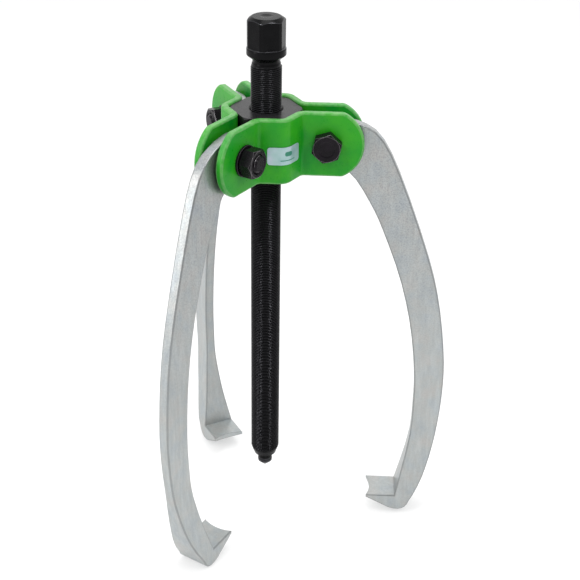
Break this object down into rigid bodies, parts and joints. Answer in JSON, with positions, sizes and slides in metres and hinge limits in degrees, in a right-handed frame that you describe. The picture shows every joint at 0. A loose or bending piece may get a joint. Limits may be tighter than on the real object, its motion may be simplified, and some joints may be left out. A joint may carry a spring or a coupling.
{
  "type": "gear puller",
  "caption": "Outside puller: hooked arms pivot between bent plates around a hub nut, and a hex-headed fine-thread spindle presses on the shaft while the hooks draw the gear off.",
  "frame": {"origin": "centre of the flat top face of the spindle's hex head, on the spindle axis", "axes": "+Z along the spindle axis out of the head; +X radially towards arm_0"},
  "size_m": [0.2268, 0.2491, 0.4452],
  "materials": {
    "green_paint": "gloss enamel",
    "zinc": "matt galvanised",
    "spindle_black": "oiled black oxide",
    "hub_steel": "black oxide",
    "fastener_black": "black oxide",
    "ball_steel": "hardened and polished",
    "label_film": "silvered film"
  },
  "bodies": {
    "head": {"hub_nut": "hub_steel", "plate_60": "green_paint", "plate_180": "green_paint", "plate_300": "green_paint", "pivot_bolt_0": "fastener_black", "head_spacer_0": "fastener_black", "nut_spacer_0": "fastener_black", "nut_washer_0": "fastener_black", "nut_0": "fastener_black", "pivot_bolt_120": "fastener_black", "head_spacer_120": "fastener_black", "nut_spacer_120": "fastener_black", "nut_washer_120": "fastener_black", "nut_120": "fastener_black", "pivot_bolt_240": "fastener_black", "head_spacer_240": "fastener_black", "nut_spacer_240": "fastener_black", "nut_washer_240": "fastener_black", "nut_240": "fastener_black", "label": "label_film"},
    "arm_0_body": {"arm_0": "zinc"},
    "arm_120_body": {"arm_120": "zinc"},
    "arm_240_body": {"arm_240": "zinc"},
    "tip": {"pressure_tip": "spindle_black", "thrust_ball": "ball_steel"},
    "screw": {"spindle": "spindle_black"}
  },
  "joints": [
    {"name": "arm_0_swing", "type": "hinge", "parent": "head", "child": "arm_0_body", "pos_m": [0.0476, 0, -0.0965], "axis": [0, -1, 0], "range_deg": [-13, 20]},
    {"name": "arm_120_swing", "type": "hinge", "parent": "head", "child": "arm_120_body", "pos_m": [-0.0238, 0.04122, -0.0965], "axis": [0.866, 0.5, 0], "range_deg": [-10.86, 22.14]},
    {"name": "arm_240_swing", "type": "hinge", "parent": "head", "child": "arm_240_body", "pos_m": [-0.0238, -0.04122, -0.0965], "axis": [-0.866, 0.5, 0], "range_deg": [-9.67, 23.33]},
    {"name": "screw_travel", "type": "slide", "parent": "head", "child": "tip", "axis": [0, 0, 1], "range_m": [-0.0331, 0.2491]},
    {"name": "screw_turn", "type": "hinge", "parent": "tip", "child": "screw", "pos_m": [0, 0, 0], "axis": [0, 0, 1], "range_deg": [-7920, 59760]}
  ],
  "couplings": [
    {"joint": "screw_travel", "follows": "screw_turn", "m_per_rad": 0.00023873}
  ]
}
